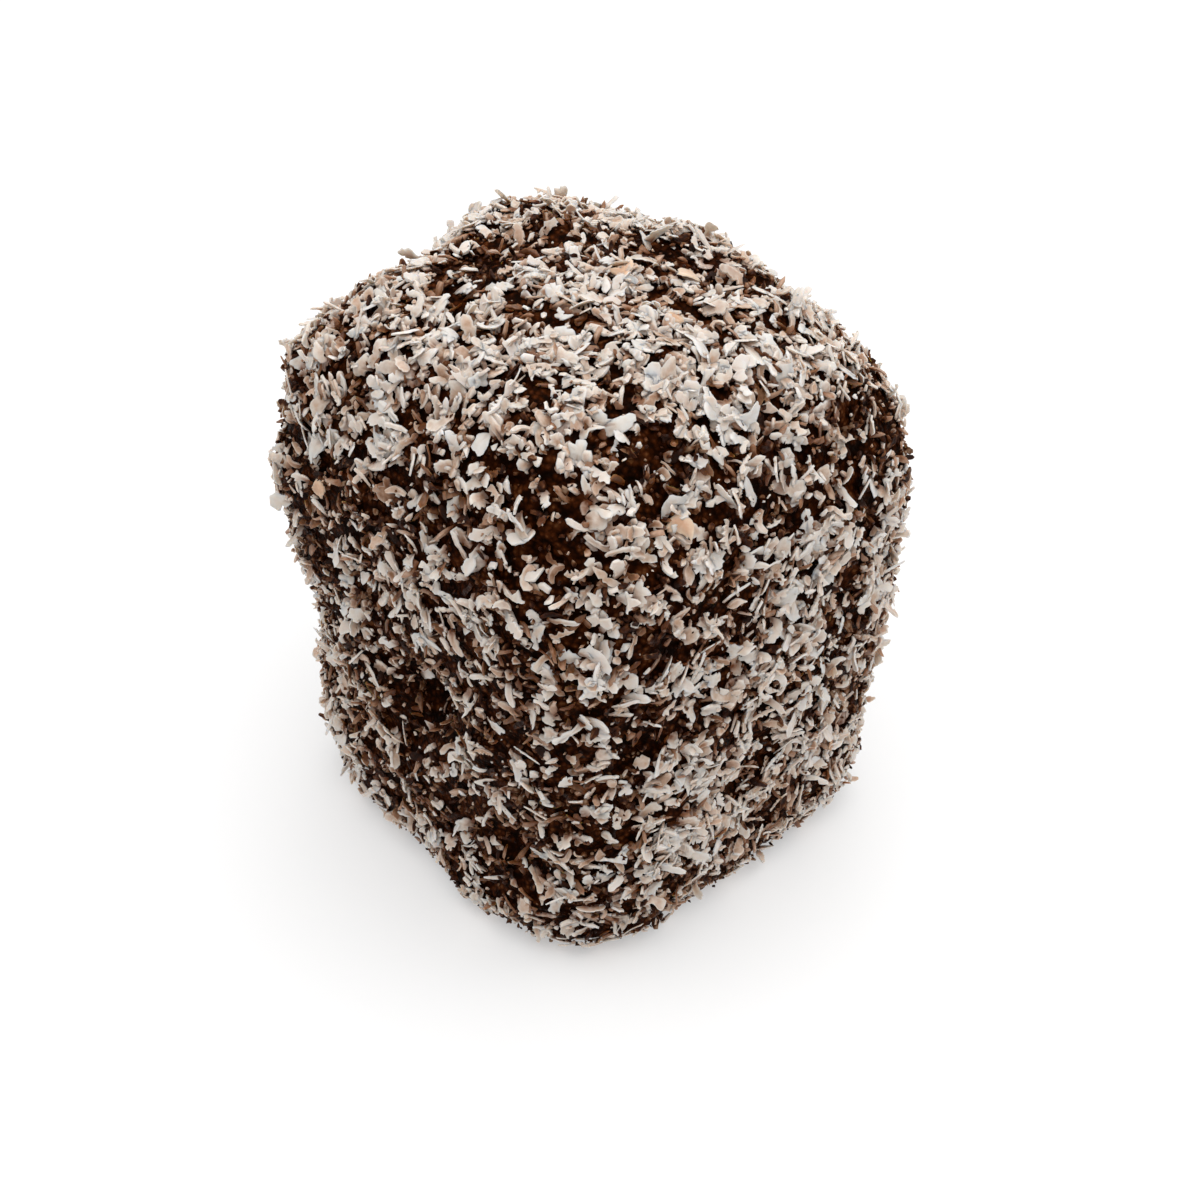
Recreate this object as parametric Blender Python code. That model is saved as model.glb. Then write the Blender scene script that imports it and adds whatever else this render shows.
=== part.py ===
"""A lamington: a cube of sponge dipped in chocolate icing and rolled in desiccated coconut.

One solid holds the cake, its icing and the mean level of the coconut coat. It is a soft-cornered
block, narrower at the foot than at the shoulders, slightly domed on top and flat underneath, with
the hollows and swellings that handling leaves in a hand-dipped cake.
"""

import math
from dataclasses import dataclass

import bmesh
import bpy
from mathutils import Vector, noise

MM = 0.001

# Overall sides of the coated cake
WIDTH = 50.0 * MM  # along X
DEPTH = 47.0 * MM  # along Y
HEIGHT = 58.0 * MM  # along Z

# How square the block is: 2 would be an ellipse and a large number a sharp box
PLAN_SQUARENESS = 4.6
TOP_SQUARENESS = 3.2
FOOT_SQUARENESS = 11.0

# The foot is this share narrower than the shoulders
FOOT_TAPER = 0.10

# The coat is cut flat where the cake sits
BASE_CUT = 0.25 * MM

# Gentle unevenness of the dipped surface
LUMP_SIZE = 11.0 * MM
LUMP_HEIGHT = 0.40 * MM

CUTS_PER_SIDE = 25
BODY_NAME = "lamington"


@dataclass(frozen=True)
class Swell:
    """A hump (positive height) or a hollow (negative height) in the coat.

    place is a point near the surface in shares of the half sides: -1 to 1 along X and Y, 0 to 1
    up from the base. reach is the radius at which it has faded, and height its tallest point.
    """

    name: str
    place: tuple
    reach: float
    height: float


SWELLS = (
    Swell("hump behind the notch", (-0.74, 0.20, 1.00), 9.0 * MM, 2.8 * MM),
    Swell("notch in the shoulder", (-0.72, -0.22, 0.98), 8.0 * MM, -2.6 * MM),
    Swell("far end rolled over", (-0.50, 0.80, 0.98), 16.0 * MM, -2.8 * MM),
    Swell("far edge rolled over", (0.25, 0.85, 0.96), 14.0 * MM, -1.2 * MM),
    Swell("far corner worn", (0.65, 0.80, 0.92), 14.0 * MM, -2.4 * MM),
    Swell("side shoulder slumped", (-0.75, -0.58, 0.94), 11.0 * MM, -1.5 * MM),
    Swell("corner below the shoulder", (-0.86, -0.86, 0.75), 9.0 * MM, -1.8 * MM),
    Swell("waist of the corner", (-0.80, -0.92, 0.36), 17.0 * MM, -2.0 * MM),
    Swell("toe at the foot", (0.25, -0.92, 0.05), 9.0 * MM, 1.6 * MM),
    Swell("pit in the side", (0.23, -0.99, 0.46), 5.5 * MM, -1.8 * MM),
    Swell("hollow over the foot", (0.62, -0.94, 0.19), 6.0 * MM, -1.3 * MM),
    Swell("heap near the front edge", (0.60, -0.22, 0.98), 8.0 * MM, 0.8 * MM),
    Swell("thumb dent in the far side", (0.20, 1.00, 0.44), 9.0 * MM, -1.3 * MM),
    Swell("full flank", (-1.00, 0.30, 0.52), 15.0 * MM, 0.9 * MM),
    Swell("nick in the far foot", (-0.55, 0.98, 0.12), 6.0 * MM, -1.2 * MM),
)


def block_point(direction):
    """The point of the plain block that lies this way from its middle."""
    x, y, z = direction
    plan = (abs(x) ** PLAN_SQUARENESS + abs(y) ** PLAN_SQUARENESS) ** (1 / PLAN_SQUARENESS)
    power = TOP_SQUARENESS if z > 0 else FOOT_SQUARENESS
    reach = (plan**power + abs(z) ** power) ** (-1 / power)
    share_up = (z * reach + 1) / 2
    narrow = 1 - FOOT_TAPER * (1 - share_up)
    return Vector(
        (
            x * reach * narrow * WIDTH / 2,
            y * reach * narrow * DEPTH / 2,
            share_up * HEIGHT,
        )
    )


def swell_at(point):
    """How far the named humps and hollows move this point outwards."""
    total = 0.0
    for swell in SWELLS:
        x, y, up = swell.place
        centre = Vector((x * WIDTH / 2, y * DEPTH / 2, up * HEIGHT))
        near = (point - centre).length / swell.reach
        total += swell.height * math.exp(-4 * near * near)
    return total


def lump_at(point):
    """The even, shallow lumpiness of the dipped surface at this point."""
    place = point / LUMP_SIZE
    return LUMP_HEIGHT * (noise.noise(place) + 0.5 * noise.noise(place * 2.1))


def shape_block(mesh):
    """Turns a gridded cube into the coated cake."""
    for vert in mesh.verts:
        vert.co = block_point(vert.co.normalized())
    mesh.normal_update()
    moves = [(vert, vert.normal * (swell_at(vert.co) + lump_at(vert.co))) for vert in mesh.verts]
    for vert, move in moves:
        vert.co += move
    for vert in mesh.verts:
        vert.co.z = max(vert.co.z - BASE_CUT, 0.0)
    fit_to_sides(mesh)


def fit_to_sides(mesh):
    """Centres the block over the origin, standing on it, and brings it to its overall sides."""
    sides = (WIDTH, DEPTH, HEIGHT)
    for axis, side in enumerate(sides):
        low = min(vert.co[axis] for vert in mesh.verts)
        high = max(vert.co[axis] for vert in mesh.verts)
        start = 0.0 if axis == 2 else -side / 2
        for vert in mesh.verts:
            vert.co[axis] = start + (vert.co[axis] - low) * side / (high - low)


def coat_material():
    """Chocolate brown seen through pale coconut, as one plain colour."""
    material = bpy.data.materials.new("coconut_over_chocolate")
    material.use_nodes = True
    shader = material.node_tree.nodes["Principled BSDF"]
    shader.inputs["Base Color"].default_value = (0.33, 0.25, 0.20, 1.0)
    shader.inputs["Roughness"].default_value = 0.75
    return material


def build():
    for old in list(bpy.data.objects):
        bpy.data.objects.remove(old)
    collection = bpy.data.collections.new("lamington_cake")
    bpy.context.scene.collection.children.link(collection)

    mesh = bmesh.new()
    bmesh.ops.create_cube(mesh, size=2.0)
    bmesh.ops.subdivide_edges(
        mesh, edges=mesh.edges[:], cuts=CUTS_PER_SIDE - 1, use_grid_fill=True
    )
    shape_block(mesh)
    data = bpy.data.meshes.new(BODY_NAME)
    mesh.to_mesh(data)
    mesh.free()
    data.shade_smooth()

    cake = bpy.data.objects.new(BODY_NAME, data)
    cake.data.materials.append(coat_material())
    collection.objects.link(cake)


build()
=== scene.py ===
"""Lamington cake: a block of sponge in chocolate icing, rolled in desiccated coconut.

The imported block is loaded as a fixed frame. A coat of icing with relief stands for it,
and loose coconut of several cuts lies on that coat as true meshes, each kind one piece.
Sizes here are in millimetres, and every mesh is turned to metres as it is made.
"""

import logging
import math
from dataclasses import dataclass
from enum import Enum
from typing import ClassVar

import bpy
import numpy as np
from bpy.types import Material, Mesh, Node, NodeSocket, NodeTree, Object
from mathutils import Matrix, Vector, noise


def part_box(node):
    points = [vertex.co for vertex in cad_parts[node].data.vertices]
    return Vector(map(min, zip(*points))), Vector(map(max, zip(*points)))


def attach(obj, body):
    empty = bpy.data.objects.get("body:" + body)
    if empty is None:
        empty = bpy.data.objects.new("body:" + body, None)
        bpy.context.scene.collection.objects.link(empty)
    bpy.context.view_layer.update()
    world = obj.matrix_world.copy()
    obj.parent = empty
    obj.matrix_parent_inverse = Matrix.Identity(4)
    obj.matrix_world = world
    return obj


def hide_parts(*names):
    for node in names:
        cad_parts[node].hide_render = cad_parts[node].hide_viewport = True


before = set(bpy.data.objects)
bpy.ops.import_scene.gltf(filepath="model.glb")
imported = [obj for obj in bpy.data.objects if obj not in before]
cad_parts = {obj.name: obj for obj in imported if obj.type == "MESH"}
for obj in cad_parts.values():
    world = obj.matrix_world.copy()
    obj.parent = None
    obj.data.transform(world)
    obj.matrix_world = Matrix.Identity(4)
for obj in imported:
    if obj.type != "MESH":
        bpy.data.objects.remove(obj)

log = logging.getLogger("lamington")

Array = np.ndarray
Chance = np.random.Generator
# The lowest and the highest of something.
Span = tuple[float, float]
Triple = tuple[float, float, float]
Colour = tuple[float, float, float, float]
# Places on a colour ramp from 0 to 1, each with its sRGB hex colour.
Stops = tuple[tuple[float, str], ...]

CAD_NODE = "lamington"
BODY = "root"
MM = 0.001
SEED = 20
ATLAS_MAP = "OFBake"
GRAIN_MAP = "grain"
TONE = "tone"
SOAK = "soak"
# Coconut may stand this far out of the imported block.
OUTSIDE_MM = 0.7
# Edges of a cut piece that turn more sharply than this stay crisp.
CUT_EDGE_DEGREES = 66.0
# Patches wider than this only shift the cover, and leave its swings as they are.
BROAD_PATCH_MM = 10.0
# Loose pieces have fallen out of hollows deeper than this.
DEEP_HOLLOW_MM = -2.0
# How unevenly the corners and the rings of a cut piece are spaced.
UNEVEN = 0.35
# Painted shade: how much darker loose pieces are where hardly any coconut lies, in the bare hollows.
BARE_SHADE = 0.3
WHITE = (1.0, 1.0, 1.0, 1.0)
# Where a Mix node takes its share, the colour below and the colour laid over it.
MIX_SOCKETS = (0, 6, 7)


class Slot(Enum):
    """The record's material slots."""

    COCONUT = "coconut"
    ICING = "icing"


class Outline(Enum):
    """How the sides of one kind of coconut piece run."""

    TORN = "torn"
    STRIP = "strip"
    LEAF = "leaf"
    TOOTHED = "toothed"
    THREAD = "thread"


# ---------------------------------------------------------------- small helpers


def linear_rgb(colour: str) -> Colour:
    """Turns an sRGB hex colour to the linear values that shaders take.

    Args:
        colour: six hex digits after a hash sign.

    Returns:
        Linear red, green and blue, and an alpha of 1.
    """
    parts = [int(colour[i : i + 2], 16) / 255 for i in (1, 3, 5)]
    flat = [c / 12.92 if c <= 0.04045 else ((c + 0.055) / 1.055) ** 2.4 for c in parts]
    return (flat[0], flat[1], flat[2], 1.0)


def noise_at(points: Array, size: float, seed: int) -> Array:
    """Smooth noise, about -1 to 1, at each point.

    Args:
        points: (N, 3) places in millimetres.
        size: the width of one lump in millimetres.
        seed: picks another field of the same kind.

    Returns:
        (N,) values.
    """
    shifted = points / size + np.array([seed * 13.71, seed * 7.33, seed * 3.19])
    return np.array([noise.noise(Vector(p)) for p in shifted])


def grains_at(points: Array, size: float, seed: int) -> Array:
    """Rounded grains side by side: 1 at a grain's middle, falling to 0 between grains.

    Args:
        points: (N, 3) places in millimetres.
        size: the spacing of the grains in millimetres.
        seed: picks another field of the same kind.

    Returns:
        (N,) values from 0 to 1.
    """
    shifted = points / size + np.array([seed * 5.17, seed * 11.3, seed * 2.71])
    near = np.array([noise.voronoi(Vector(p))[0][0] for p in shifted])
    return np.clip(1.0 - 1.4 * near, 0.0, 1.0)


def smoothstep(low: float, high: float, values: Array) -> Array:
    """Rises from 0 at low to 1 at high with soft ends."""
    share = np.clip((values - low) / (high - low), 0.0, 1.0)
    return share * share * (3.0 - 2.0 * share)


def gathered(cover: Array, follows: float) -> Array:
    """How strongly each place draws pieces.

    Args:
        cover: the share of the icing that the coconut hides there.
        follows: 1 to hide just that share, more to gather where it is high, 0 to lie
            evenly, and below 0 to gather where it is low.

    Returns:
        A weight for each place.
    """
    layers = -np.log(1 - cover)
    return layers**follows if follows >= 0 else (1.05 - cover) ** -follows


def unit(vectors: Array) -> Array:
    """The same directions with length 1."""
    return vectors / np.maximum(np.linalg.norm(vectors, axis=-1, keepdims=True), 1e-12)


def between(limits: Span, share: Array) -> Array:
    """What lies at each share of the way from the low limit to the high one."""
    return limits[0] + (limits[1] - limits[0]) * share


def varied(amount: float, shape: tuple[int, ...], rng: Chance) -> Array:
    """Random factors from 1 - amount to 1 + amount."""
    return 1 + amount * rng.uniform(-1, 1, shape)


def placed(name: str, data: bpy.types.ID) -> Object:
    """Puts a mesh, a lamp or a camera in the scene.

    Args:
        name: the name of the object.
        data: the mesh, lamp or camera.

    Returns:
        The object.
    """
    thing = bpy.data.objects.new(name, data)
    bpy.context.scene.collection.objects.link(thing)
    return thing


def set_corners(mesh: Mesh, points: Array) -> None:
    """Moves the corners of a mesh to (V, 3) places in millimetres."""
    mesh.vertices.foreach_set("co", (points * MM).astype(np.float32).ravel())


def point_values(mesh: Mesh, name: str, values: Array) -> None:
    """Stores one number for each corner of the mesh, which a finish reads by name."""
    layer = mesh.attributes.new(name, "FLOAT", "POINT")
    layer.data.foreach_set("value", values.astype(np.float32).ravel())


def corner_map(mesh: Mesh, name: str, places: Array) -> None:
    """Stores a flat map: (L, 2) places, one for each corner of each face."""
    layer = mesh.uv_layers.new(name=name)
    layer.data.foreach_set("uv", places.astype(np.float32).ravel())


def atlas(count: int, flat: list[Array]) -> Array:
    """A map on which every piece has a square of its own.

    Args:
        count: how many pieces.
        flat: (F, S, 2) places on one piece's own map, one array for each kind of face.

    Returns:
        (L, 2) places from 0 to 1, in the order of the faces.
    """
    across = math.ceil(math.sqrt(count))
    index = np.arange(count)
    cell = np.stack([index % across, index // across], axis=-1)[:, None, None, :]
    return np.concatenate([((f[None] + cell) / across).reshape(-1, 2) for f in flat])


def joined(name: str, points: Array, faces: list[Array], flat: list[Array]) -> Mesh:
    """Joins many pieces that are built alike to one smooth mesh with its flat map.

    Args:
        name: the name of the mesh.
        points: (N, V, 3) corners in millimetres.
        faces: one piece's faces, one (F, S) array for each count of sides.
        flat: for each of those arrays, (F, S, 2) places on one piece's own map.

    Returns:
        The mesh, in metres.
    """
    count, corners, _ = points.shape
    step = (np.arange(count) * corners)[:, None, None]
    loops = np.concatenate([(f[None] + step).ravel() for f in faces]).astype(np.int32)
    sizes = np.concatenate([np.full(count * len(f), f.shape[1]) for f in faces])
    mesh = bpy.data.meshes.new(name)
    mesh.vertices.add(count * corners)
    set_corners(mesh, points)
    mesh.loops.add(len(loops))
    mesh.loops.foreach_set("vertex_index", loops)
    mesh.polygons.add(len(sizes))
    starts = np.concatenate([[0], np.cumsum(sizes)[:-1]]).astype(np.int32)
    mesh.polygons.foreach_set("loop_start", starts)
    mesh.update(calc_edges=True)
    mesh.polygons.foreach_set("use_smooth", np.ones(len(sizes), bool))
    corner_map(mesh, ATLAS_MAP, atlas(count, flat))
    return mesh


def add_node(
    tree: NodeTree, kind: str, inputs: dict[int | str, object] | tuple = (), **settings: object
) -> Node:
    """Adds one node with its settings and links.

    Args:
        tree: the node tree that gets it.
        kind: the node's type, without the prefix that all of them share.
        inputs: for each socket, a value, the output that feeds it, or the node whose
            first output does. A tuple holds those of the first sockets in order.
        settings: the node's own options.

    Returns:
        The node.
    """
    node = tree.nodes.new("ShaderNode" + kind)
    for name, value in settings.items():
        setattr(node, name, value)
    chosen = inputs.items() if isinstance(inputs, dict) else enumerate(inputs)
    for socket, value in chosen:
        if isinstance(value, Node):
            value = value.outputs[0]
        if isinstance(value, NodeSocket):
            tree.links.new(value, node.inputs[socket])
        else:
            node.inputs[socket].default_value = value
    return node


def set_stops(node: Node, stops: Stops) -> None:
    """Fills a colour ramp.

    Args:
        node: the colour ramp node.
        stops: places from 0 to 1, each with its sRGB hex colour.
    """
    elements = node.color_ramp.elements
    while len(elements) < len(stops):
        elements.new(0.5)
    for element, (place, colour) in zip(elements, stops):
        element.position = place
        element.color = linear_rgb(colour)


def per_metre(size_mm: float) -> float:
    """The scale of a pattern whose features are this many millimetres wide."""
    return 1.0 / (size_mm * MM)


# ---------------------------------------------------------------- finishes


@dataclass(frozen=True)
class Finish:
    """What a surface is made of and how it was worked, as one material.

    Attributes:
        name: the material's name.
        slot: the record's slot of pieces with this finish. The board has none.
    """

    name: str
    slot: ClassVar[Slot]

    def material(self) -> Material:
        """Builds the finish.

        Returns:
            The material.
        """
        material = bpy.data.materials.new(self.name)
        material.use_nodes = True
        tree = material.node_tree
        tree.nodes.clear()
        add_node(tree, "OutputMaterial", {"Surface": self.shader(tree)})
        return material

    def shader(self, tree: NodeTree) -> Node:
        """Adds the nodes of the finish, the last of which is its shader."""
        raise NotImplementedError

    def rim_node(self, tree: NodeTree, begins: float, most: float) -> Node:
        """Adds what rises from 0 inside each piece to the most at its very rim.

        Args:
            tree: the material's node tree.
            begins: where the rise begins, from 0 in the middle to 1 at the rim.
            most: the value at the rim.

        Returns:
            The node that gives it.
        """
        grain = add_node(tree, "UVMap", uv_map=GRAIN_MAP)
        across = add_node(tree, "SeparateXYZ", (grain,)).outputs["Y"]
        edge = add_node(tree, "Math", (across,), operation="ABSOLUTE")
        return add_node(tree, "MapRange", (edge, begins, 1.0, 0.0, most))


TOASTED_TANS = ((0.0, "#6b4028"), (0.4, "#a97858"), (0.75, "#cfa88c"), (1.0, "#e0c8b2"))


@dataclass(frozen=True)
class CoconutFlesh(Finish):
    """Desiccated coconut: white flesh, shredded and dried, then damp again from icing.

    The eye gets cream pieces with paler torn rims, grey half-clear ones that have soaked
    up syrup, and brown stain creeping up from where each piece sits in the icing.

    Attributes:
        stops: its colours, from soaked through to clean and dry.
        rim: the colour of the rim, which is torn and full of air.
        stain_mm: the width of the tongues of icing that creep up.
        creep: how weak and how strong they are.
        mottle_mm: the width of its clouds.
        clouding: how much lighter and darker they are.
        fibre_mm: the width of its fibres, drawn coarse enough to show.
        subsurface_mm: how far light goes through the flesh.
        subsurface_rgb: how far red, green and blue go, as shares of that.
    """

    slot: ClassVar[Slot] = Slot.COCONUT
    stops: Stops = (
        (0.0, "#55300f"), (0.22, "#8c6549"), (0.45, "#bfa18b"), (0.7, "#d9cabe"), (1.0, "#e3dbd5"),
    )
    rim: str = "#ece6e0"
    rim_share: float = 0.3
    stain: str = "#6b3713"
    stain_mm: float = 0.8
    creep: Span = (0.35, 1.25)
    roughness: float = 0.5
    ior: float = 1.45
    shine: float = 0.22
    mottle_mm: float = 0.6
    clouding: float = 0.11
    fibre_mm: float = 0.13
    fibre_relief_mm: float = 0.05
    subsurface: float = 0.8
    subsurface_mm: float = 0.45
    subsurface_rgb: Triple = (1.0, 0.8, 0.64)

    def shader(self, tree: NodeTree) -> Node:
        """Adds the nodes of the flesh.

        Args:
            tree: the material's node tree.

        Returns:
            The shader.
        """
        place = add_node(tree, "TexCoord").outputs["Object"]
        tone = add_node(tree, "Attribute", attribute_name=TONE).outputs["Fac"]
        soak = add_node(tree, "Attribute", attribute_name=SOAK).outputs["Fac"]
        scale = per_metre(self.mottle_mm)
        mottle = add_node(tree, "TexNoise", {"Vector": place, "Scale": scale, "Detail": 3.0})
        # Noise seldom leaves 0.3 to 0.7, so every range of it starts from about there.
        clouds = (mottle, 0.3, 0.7, -self.clouding, self.clouding)
        cloud = add_node(tree, "MapRange", clouds, clamp=False)
        shade = add_node(tree, "Math", (tone, cloud), operation="ADD")
        ramp = add_node(tree, "ValToRGB", {"Fac": shade})
        set_stops(ramp, self.stops)
        rim = self.rim_node(tree, 0.5, self.rim_share)
        parts = dict(zip(MIX_SOCKETS, (rim, ramp, linear_rgb(self.rim))))
        rimmed = add_node(tree, "Mix", parts, data_type="RGBA").outputs[2]
        scale = per_metre(self.stain_mm)
        tongues = add_node(tree, "TexNoise", {"Vector": place, "Scale": scale, "Detail": 2.0})
        creep = add_node(tree, "MapRange", (tongues, 0.35, 0.65, *self.creep))
        wet = add_node(tree, "Math", (soak, creep), operation="MULTIPLY", use_clamp=True)
        parts = dict(zip(MIX_SOCKETS, (wet, rimmed, linear_rgb(self.stain))))
        stained = add_node(tree, "Mix", parts, data_type="RGBA").outputs[2]
        scale = per_metre(self.fibre_mm)
        fibres = add_node(tree, "TexNoise", {"Vector": place, "Scale": scale, "Detail": 2.0})
        relief = {"Height": fibres, "Strength": 0.35, "Distance": self.fibre_relief_mm * MM}
        gloss = (mottle, 0.3, 0.7, self.roughness - 0.1, self.roughness + 0.15)
        sockets = {
            "Base Color": stained,
            "Roughness": add_node(tree, "MapRange", gloss),
            "IOR": self.ior,
            "Specular IOR Level": self.shine,
            "Subsurface Weight": self.subsurface,
            "Subsurface Radius": self.subsurface_rgb,
            "Subsurface Scale": self.subsurface_mm * MM,
            "Normal": add_node(tree, "Bump", relief),
        }
        return add_node(tree, "BsdfPrincipled", sockets)


CRUMB_BROWNS = (
    (0.0, "#1f0a01"), (0.42, "#361605"), (0.6, "#502910"), (0.78, "#6c4529"), (1.0, "#8d7059"),
)


@dataclass(frozen=True)
class ChocolateIcing(Finish):
    """Cocoa icing: thin, syrupy, poured on and soaked in, then crusted with sugar.

    The eye gets near-black pores between brown grains of icing and cake, lighter where
    the grains stand out, which is partly the grains' own colour and partly painted shade
    in the pores, and small wet glints where the syrup lies smooth on them.

    Attributes:
        stops: its colours, from the pores, whose near-black is painted shade, to the tops of the
            grains.
        crumb_tone: what the darkest and the lightest crumb of cake add to the tone.
        grain_colour_and_gap_shade: what the top of a grain adds, its own lighter colour against
            painted shade in the gaps.
        rim_syrup_and_highlight: what the rim of a shred under icing adds: thin pale syrup, with a
            painted highlight on the edge.
        fine_mm: the width of the sugar grit on the grains.
        glossiest: the roughness where the syrup lies smooth.
        roughest: the roughness where the sugar is dry.
    """

    slot: ClassVar[Slot] = Slot.ICING
    stops: Stops = (
        (0.0, "#0c0300"), (0.3, "#180600"), (0.55, "#2c1002"), (0.8, "#431e09"), (1.0, "#5c371d"),
    )
    crumb_mm: float = 1.1
    crumb_tone: Span = (-0.1, 0.65)
    grain_mm: float = 0.5
    grain_colour_and_gap_shade: float = 0.55
    grain_relief_mm: float = 0.25
    fine_mm: float = 0.16
    fine_relief_mm: float = 0.08
    roughest: float = 0.75
    glossiest: float = 0.3
    ior: float = 1.48
    shine: float = 0.02
    rim_syrup_and_highlight: float = 0.0

    def shader(self, tree: NodeTree) -> Node:
        """Adds the nodes of the icing.

        Args:
            tree: the material's node tree.

        Returns:
            The shader.
        """
        place = add_node(tree, "TexCoord").outputs["Object"]
        tone = add_node(tree, "Attribute", attribute_name=TONE).outputs["Fac"]
        scale = per_metre(self.crumb_mm)
        crumbs = add_node(tree, "TexNoise", {"Vector": place, "Scale": scale, "Detail": 4.0})
        grains = add_node(tree, "TexVoronoi", {"Vector": place, "Scale": per_metre(self.grain_mm)})
        # Painted shade: the grains are lighter at their tops and the pores between them darker, which
        # is partly the grains' own colour.
        raised = add_node(tree, "MapRange", (grains, 0.1, 0.75, self.grain_colour_and_gap_shade, 0.0))
        spread = add_node(tree, "MapRange", (crumbs, 0.32, 0.68, *self.crumb_tone))
        toned = add_node(tree, "Math", (raised, spread), operation="ADD")
        toned = add_node(tree, "Math", (toned, tone), operation="ADD")
        if self.rim_syrup_and_highlight > 0:
            # Syrup is thinnest, and so palest, where it runs off the rim of a shred, and a painted
            # highlight lies along that edge as well.
            rim = self.rim_node(tree, 0.6, self.rim_syrup_and_highlight)
            toned = add_node(tree, "Math", (toned, rim), operation="ADD")
        ramp = add_node(tree, "ValToRGB", {"Fac": toned})
        set_stops(ramp, self.stops)
        scale = per_metre(self.fine_mm)
        fine = add_node(tree, "TexNoise", {"Vector": place, "Scale": scale, "Detail": 3.0})
        gloss = (fine, 0.35, 0.6, self.glossiest, self.roughest)
        relief = {"Height": raised, "Strength": 0.8, "Distance": self.grain_relief_mm * MM}
        grit = {"Height": fine, "Strength": 0.6, "Distance": self.fine_relief_mm * MM}
        grit["Normal"] = add_node(tree, "Bump", relief)
        sockets = {
            "Base Color": ramp,
            "Roughness": add_node(tree, "MapRange", gloss),
            "IOR": self.ior,
            "Specular IOR Level": self.shine,
            "Normal": add_node(tree, "Bump", grit),
        }
        return add_node(tree, "BsdfPrincipled", sockets)


@dataclass(frozen=True)
class MattBoard(Finish):
    """White board: pressed card with a matt coating, which gives a clean pale floor."""

    name: str = "matt_white_board_coated"
    colour: str = "#c9c9c9"
    roughness: float = 0.9
    glow: float = 0.39

    def shader(self, tree: NodeTree) -> Node:
        """Adds the one node of the board.

        Args:
            tree: the material's node tree.

        Returns:
            The shader, which glows a little so that the board stays white.
        """
        sockets = {
            "Base Color": linear_rgb(self.colour),
            "Roughness": self.roughness,
            "Specular IOR Level": 0.0,
            "Emission Color": WHITE,
            "Emission Strength": self.glow,
        }
        return add_node(tree, "BsdfPrincipled", sockets)


def piece_of(mesh: Mesh, finish: Finish) -> Object:
    """Dresses a mesh and puts it in the scene under its own name.

    Args:
        mesh: the mesh.
        finish: what it is made of.

    Returns:
        The piece.
    """
    mesh.materials.clear()
    mesh.materials.append(finish.material())
    return placed(mesh.name, mesh)


# ---------------------------------------------------------------- the coat's layout


@dataclass(frozen=True)
class Patch:
    """A place where the coconut lies thicker or thinner than elsewhere.

    Attributes:
        place: shares of the half sides across X and Y, and of the height.
        reach: how far it spreads in millimetres.
        amount: what it adds to the cover, below zero for a bare place.
        rise: how far the icing stands out there in millimetres, below zero for a hollow.
    """

    place: Triple
    reach: float
    amount: float
    rise: float = 0.0

    def strength(self, points: Array, half: Array) -> Array:
        """How strongly the patch is felt at each point, from 0 to 1."""
        away = np.linalg.norm(points - np.array(self.place) * half, axis=1)
        return np.exp(-2.5 * (away / self.reach) ** 2)


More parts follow.
